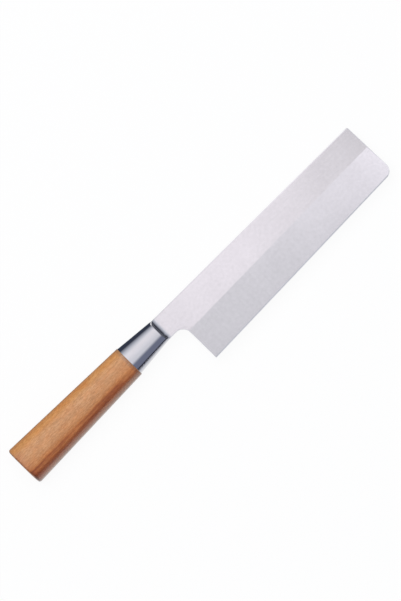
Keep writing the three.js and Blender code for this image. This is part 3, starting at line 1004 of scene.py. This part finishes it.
# Camera, square on the right side and turned as the photo is, in millimetres
CAMERA_HEIGHT = 4000.0
CAMERA_TURN = math.radians(-45)
SENSOR_WIDTH = 36.0
VIEW_CENTRE = (60.15, -4.74)
FRAME_HEIGHT = 388.0

# Strips over the blade, in millimetres
STRIP_HEIGHT = 740.0
STRIP_REACH = 300.0
STRIP_DIVIDE = -36.0
STRIP_COLOUR = (1.0, 0.91, 0.99)
Strip = namedtuple("Strip", "centre turn spread level far_side")
FLATS_STRIP = Strip((73.0, 0.0), math.radians(37), 83.0, 0.57, STRIP_REACH)
BEVEL_STRIP = Strip((241.0, -66.0), math.radians(-25), 47.0, 0.71, -STRIP_REACH)

# Cards on the floor, in millimetres. The navy one rises away from the spine
CARD_LIFT = 0.6
NAVY = (0.044, 0.053, 0.082)
NAVY_CARD_LEFT = -HANDLE_LENGTH - 20.0
NAVY_CARD_NEAR = (25.9, 6.0)
NAVY_CARD_FAR = (60.0, 130.0)
NAVY_CARD_RISE = 22.0
GREY_CARD_NEAR = -18.0
GREY_CARD_FAR = -400.0
GREY_CARD_OUTLINE = [
    (-116.0, GREY_CARD_FAR), (60.0, GREY_CARD_FAR), (60.0, GREY_CARD_NEAR),
    (0.5, GREY_CARD_NEAR), (8.0, -160.0), (-116.0, -28.0),
]
GREY_CARD_TONES = [
    (0.0, (0.93, 0.93, 0.94)), (0.035, (0.78, 0.79, 0.82)), (0.07, (0.63, 0.645, 0.69)),
    (0.17, (0.36, 0.38, 0.44)), (0.4, (0.11, 0.12, 0.15)), (1.0, (0.03, 0.034, 0.046)),
]

# Room, in metres
FLOOR_REACH = 5.0
FLOOR_WHITE = 0.93
BACKDROP_REACH = 4.9
BACKDROP_HEIGHT = 9.0
BACKDROP_SIDES = 48
BACKDROP_LEVEL = 0.62
BACKDROP_COLOUR = (1.0, 0.99, 1.0)
LAMP_HEIGHT = 2.0
LAMP_SIZE = 1.6
LAMP_TILT = math.radians(28)
LAMP_POWER = 22.0

# Sky: a key that fades from overhead down, and a fill low over the keel's side
KEY_TILT = math.radians(8)
KEY_TONES = [
    (0.0, (0.022, 0.025, 0.036)), (0.139, (0.032, 0.036, 0.05)), (0.2, (0.075, 0.082, 0.105)),
    (0.27, (0.15, 0.16, 0.195)), (0.5, (0.365, 0.385, 0.44)), (0.68, (0.535, 0.555, 0.62)),
    (0.803, (0.69, 0.705, 0.77)), (0.9, (0.82, 0.83, 0.885)), (0.95, (0.91, 0.91, 0.96)),
    (0.978, (0.97, 0.96, 1.005)), (0.9945, (1.05, 1.02, 1.055)), (1.0, (1.16, 1.12, 1.16)),
]
FILL_TILT = math.radians(58)
FILL_TONES = [
    (0.84, grey(0.0)), (0.88, (0.018, 0.02, 0.03)), (0.95, (0.068, 0.074, 0.104)),
    (0.985, (0.228, 0.252, 0.348)), (1.0, (0.25, 0.275, 0.38)),
]


def sheet(name, corners, material, faces=None):
    """A stage piece with those corners, of one face if none are given."""
    mesh = bpy.data.meshes.new(name)
    mesh.from_pydata(corners, [], faces or [tuple(range(len(corners)))])
    piece = new_piece(name, mesh, material)
    return piece


def bare_material(name):
    """A material without nodes, and its tree."""
    material = bpy.data.materials.new(name)
    material.use_nodes = True
    tree = material.node_tree
    tree.nodes.clear()
    return material, tree


def glow(tree, colour, level=1.0):
    return add(tree, "ShaderNodeEmission", {"Color": colour, "Strength": level}).outputs[0]


def glow_through(tree, colour, level):
    """Ends a bare material as a glow that lets what lies behind it show."""
    clear = add(tree, "ShaderNodeBsdfTransparent").outputs[0]
    both = add(tree, "ShaderNodeAddShader", {0: clear, 1: glow(tree, (*colour, 1.0), level)}).outputs[0]
    add(tree, "ShaderNodeOutputMaterial", {"Surface": both})


def mirrored_only(piece):
    """The piece shows in polished surfaces and nowhere else."""
    piece.visible_camera = False
    piece.visible_diffuse = False
    piece.visible_shadow = False
    piece.visible_transmission = False


def light_only(piece, receiver):
    """The piece's glow reaches the receiver and no other piece."""
    lit = bpy.data.collections.new(f"lit by {piece.name}")
    lit.objects.link(receiver)
    piece.light_linking.receiver_collection = lit


def make_floor():
    """White floor that is lit like any other, and shows an even white to the camera and to mirrors."""
    material, tree = bare_material("white sweep")
    path = add(tree, "ShaderNodeLightPath").outputs
    seen = calc(tree, "MAXIMUM", path["Is Camera Ray"], path["Is Glossy Ray"])
    seen = calc(tree, "MAXIMUM", seen, path["Is Transmission Ray"])
    lit = add(tree, "ShaderNodeBsdfDiffuse", {"Color": (0.9, 0.9, 0.9, 1.0)}).outputs[0]
    white = glow(tree, (1.0, 1.0, 1.0, 1.0))
    share = calc(tree, "MULTIPLY", seen, FLOOR_WHITE)
    look = add(tree, "ShaderNodeMixShader", {0: share, 1: lit, 2: white}).outputs[0]
    add(tree, "ShaderNodeOutputMaterial", {"Surface": look})
    r = FLOOR_REACH
    sheet("floor", [(-r, -r, 0), (r, -r, 0), (r, r, 0), (-r, r, 0)], material)


def make_dark_card():
    """Navy card on the floor beside the spine, which gives the polished crown its dark strip."""
    material, tree = bare_material("navy card")
    add(tree, "ShaderNodeOutputMaterial", {"Surface": glow(tree, (*NAVY, 1.0))})
    left = place(NAVY_CARD_LEFT, 0.0, 0.0).x
    near, far = (place(*corner, 0.0) for corner in (NAVY_CARD_NEAR, NAVY_CARD_FAR))
    low, high = CARD_LIFT * MM, NAVY_CARD_RISE * MM
    corners = [(left, near.y, low), (near.x, near.y, low), (far.x, far.y, high), (left, far.y, high)]
    mirrored_only(sheet("dark_card", corners, material))


def make_grey_card():
    """Card on the floor below the keel, darker with distance, which gives the bolster its lower bands."""
    material, tree = bare_material("grey card")
    near, far = (place(0.0, y, 0.0).y for y in (GREY_CARD_NEAR, GREY_CARD_FAR))
    away = map_range(tree, parts_of(tree, object_place(tree))["Y"], near, far)
    shade = ramp(tree, away, GREY_CARD_TONES)
    add(tree, "ShaderNodeOutputMaterial", {"Surface": glow(tree, shade)})
    corners = [(*place(x, y, 0.0).xy, CARD_LIFT * MM) for x, y in GREY_CARD_OUTLINE]
    mirrored_only(sheet("grey_card", corners, material))


def make_strip_light(name, strip, receiver):
    """Soft strip slantwise over the receiver, brightest on its middle line, that lights nothing else.

    It ends at the dividing line, so that what the flats mirror and what the bevel mirrors are apart.
    """
    material, tree = bare_material(name)
    off = vector_calc(tree, "SUBTRACT", object_place(tree), place(*strip.centre, STRIP_HEIGHT))
    over = Vector((-math.sin(strip.turn), math.cos(strip.turn), 0.0)) / (strip.spread * MM)
    across = calc(tree, "ABSOLUTE", dot(tree, off, over))
    level = calc(tree, "MULTIPLY_ADD", across, -strip.level, strip.level)
    glow_through(tree, STRIP_COLOUR, calc(tree, "MAXIMUM", level, 0.0))
    ends = [strip.centre[0] - STRIP_REACH, strip.centre[0] + STRIP_REACH]
    low, high = sorted((STRIP_DIVIDE, strip.far_side))
    outline = [(ends[0], low), (ends[1], low), (ends[1], high), (ends[0], high)]
    piece = sheet(name, [place(*corner, STRIP_HEIGHT) for corner in outline], material)
    mirrored_only(piece)
    light_only(piece, receiver)


def make_backdrop(receiver):
    """Wall round the stage that glows inwards and fades upwards. The receiver alone mirrors it, once."""
    material, tree = bare_material("pale backdrop")
    height = parts_of(tree, object_place(tree))["Z"]
    level = map_range(tree, height, 0.0, BACKDROP_HEIGHT, BACKDROP_LEVEL, 0.0)
    inside = calc(tree, "SUBTRACT", 1.0, add(tree, "ShaderNodeNewGeometry").outputs["Backfacing"])
    once = calc(tree, "LESS_THAN", add(tree, "ShaderNodeLightPath").outputs["Ray Depth"], 1.5)
    shown = calc(tree, "MULTIPLY", inside, once)
    glow_through(tree, BACKDROP_COLOUR, calc(tree, "MULTIPLY", level, shown))
    turns = [2 * math.pi * side / BACKDROP_SIDES for side in range(BACKDROP_SIDES)]
    foot = [(BACKDROP_REACH * math.cos(turn), BACKDROP_REACH * math.sin(turn)) for turn in turns]
    corners = [(x, y, z) for z in (0.0, BACKDROP_HEIGHT) for x, y in foot]
    pairs = [(side, (side + 1) % BACKDROP_SIDES) for side in range(BACKDROP_SIDES)]
    walls = [(b, a, a + BACKDROP_SIDES, b + BACKDROP_SIDES) for a, b in pairs]
    light_only(sheet("backdrop", corners, material, walls), receiver)


def make_soft_lamp():
    """Large lamp overhead that lights what isn't polished."""
    lamp = bpy.data.lights.new("soft lamp", "AREA")
    lamp.size = LAMP_SIZE
    lamp.energy = LAMP_POWER
    holder = bpy.data.objects.new("soft_lamp", lamp)
    holder.location = (0.0, LAMP_HEIGHT * math.sin(LAMP_TILT), LAMP_HEIGHT * math.cos(LAMP_TILT))
    holder.rotation_euler = (-LAMP_TILT, 0.0, 0.0)
    holder.visible_glossy = False
    holder.visible_camera = False
    bpy.context.scene.collection.objects.link(holder)


def make_world():
    """Sky that is the lighter of the key and the fill in every direction."""
    world = bpy.data.worlds.new("soft studio")
    world.use_nodes = True
    tree = world.node_tree
    tree.nodes.clear()
    direction = add(tree, "ShaderNodeTexCoord").outputs["Generated"]
    towards_key = (0.0, math.sin(KEY_TILT), math.cos(KEY_TILT))
    towards_fill = (0.0, -math.sin(FILL_TILT), math.cos(FILL_TILT))
    key = ramp(tree, dot(tree, direction, towards_key), KEY_TONES)
    fill = ramp(tree, dot(tree, direction, towards_fill), FILL_TONES)
    light = blend(tree, 1.0, key, fill, "LIGHTEN")
    sky = add(tree, "ShaderNodeBackground", {"Color": light, "Strength": 1.0}).outputs[0]
    add(tree, "ShaderNodeOutputWorld", {"Surface": sky})
    bpy.context.scene.world = world


def make_camera():
    camera = bpy.data.cameras.new("square on the right side")
    camera.sensor_width = SENSOR_WIDTH
    camera.clip_start = 0.01
    camera.lens = SENSOR_WIDTH * CAMERA_HEIGHT / FRAME_HEIGHT
    holder = bpy.data.objects.new("camera", camera)
    holder.location = place(*VIEW_CENTRE, CAMERA_HEIGHT)
    holder.rotation_euler = (0.0, 0.0, CAMERA_TURN)
    bpy.context.scene.collection.objects.link(holder)
    bpy.context.scene.camera = holder


bpy.context.scene.view_settings.view_transform = "Standard"
make_floor()
make_dark_card()
make_grey_card()
make_soft_lamp()
make_world()
make_camera()

polish = mirror_steel("polished bolster steel", POLISH_COLOUR)
blade_finishes = {zone: satin_steel(satin) for zone, satin in BLADE_SATINS.items()}
pieces = [
    (make_blade(blade_finishes), "blade", "blade_steel"),
    (make_bolster(polish), "bolster", "polished_steel"),
    (make_handle(lacquered_bamboo()), "handle", "bamboo"),
]
blade = pieces[0][0]
make_strip_light("flats_strip", FLATS_STRIP, blade)
make_strip_light("bevel_strip", BEVEL_STRIP, blade)
make_backdrop(blade)
for piece, node, slot in pieces:
    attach(piece, "root")
    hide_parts(node)

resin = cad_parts["tang_resin_fill"].data.materials
resin.clear()
resin.append(amber_resin())
